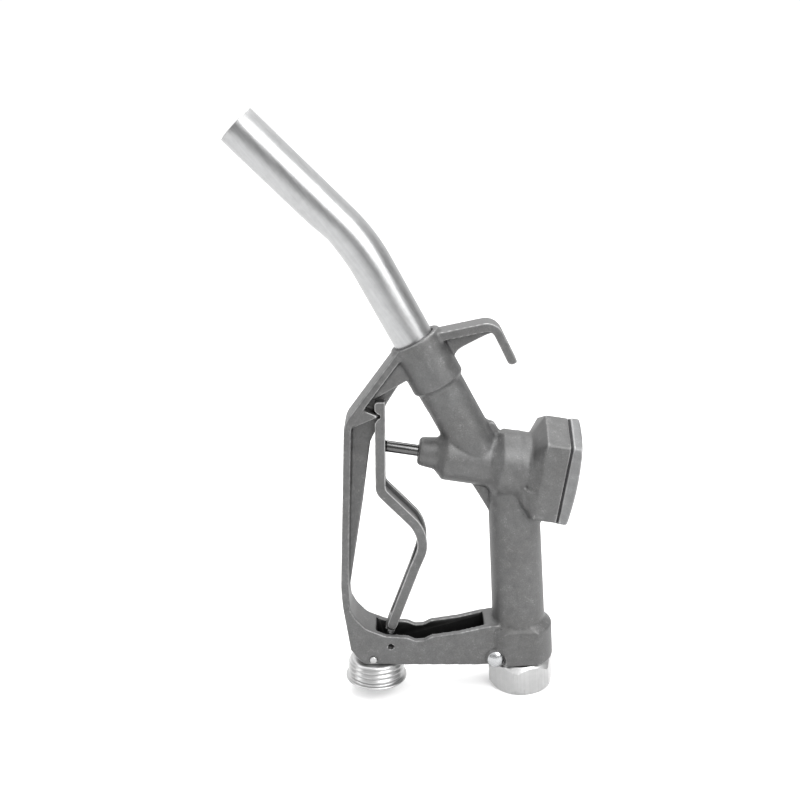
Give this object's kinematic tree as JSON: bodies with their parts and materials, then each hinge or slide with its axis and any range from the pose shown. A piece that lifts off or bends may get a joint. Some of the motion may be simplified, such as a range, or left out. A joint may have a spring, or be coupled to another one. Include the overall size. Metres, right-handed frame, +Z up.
{
  "type": "fuel nozzle",
  "caption": "Hand-operated fuel nozzle with a cast body, open guard, hanging hook, channel lever, bent spout and swivel hexagon inlet.",
  "frame": {"origin": "centre of the inlet mouth, at the bottom of the swivel nut", "axes": "+Z up along the handle, +X towards the valve cover, +Y away from the side with the retaining pin's domed head"},
  "size_m": [0.2049, 0.057, 0.3852],
  "materials": {
    "cast_body": "matt sand-cast, worn bright edges",
    "cast_cover": "matt die-cast",
    "cast_lever": "matt die-cast",
    "spout_aluminium": "bright satin, drawn",
    "nut_aluminium": "bright machined",
    "spun_aluminium": "bright spun",
    "stem_steel": "ground and polished",
    "zinc_steel": "bright zinc plate",
    "spring_steel": "drawn spring wire",
    "seat_brass": "machined",
    "seal_rubber": "matt",
    "gasket_sheet": "matt",
    "moulded_guide": "moulded",
    "strainer_plastic": "moulded"
  },
  "bodies": {
    "body": {"body_casting": "cast_body", "spout_tube": "spout_aluminium", "spout_o_ring": "seal_rubber", "spout_grub_screw": "zinc_steel", "valve_cover": "cast_cover", "cover_gasket": "gasket_sheet", "cover_screws": "zinc_steel", "spring_guide": "moulded_guide", "valve_seat": "seat_brass", "main_spring": "spring_steel", "gland_bush": "seat_brass", "stem_packing": "seal_rubber", "gland_circlip": "spring_steel", "swivel_pin": "zinc_steel", "foot_cap": "spun_aluminium", "foot_plug": "nut_aluminium", "foot_pin": "nut_aluminium"},
    "lever": {"lever": "cast_lever"},
    "valve": {"valve_stem": "stem_steel", "seal_washer": "zinc_steel", "poppet_seal": "seal_rubber", "poppet": "seat_brass", "stem_nut": "zinc_steel"},
    "swivel": {"swivel_nut": "nut_aluminium", "swivel_o_ring": "seal_rubber", "inlet_gasket": "seal_rubber", "inlet_strainer": "strainer_plastic"}
  },
  "joints": [
    {"name": "lever_pivot", "type": "hinge", "parent": "body", "child": "lever", "pos_m": [-0.0833, 0, 0.197], "axis": [0, -1, 0], "range_deg": [0, 16], "stiffness_Nm_per_rad": 1.5, "springref_deg": -14.32},
    {"name": "valve_slide", "type": "slide", "parent": "body", "child": "valve", "axis": [0.9763, 0, -0.2164], "range_m": [0, 0.0071], "deforming": ["main_spring"]},
    {"name": "swivel_turn", "type": "hinge", "parent": "body", "child": "swivel", "pos_m": [0, 0, 0.02], "axis": [0, 0, 1], "continuous": true}
  ],
  "couplings": [
    {"joint": "valve_slide", "follows": "lever_pivot", "m_per_rad": 0.0252}
  ]
}
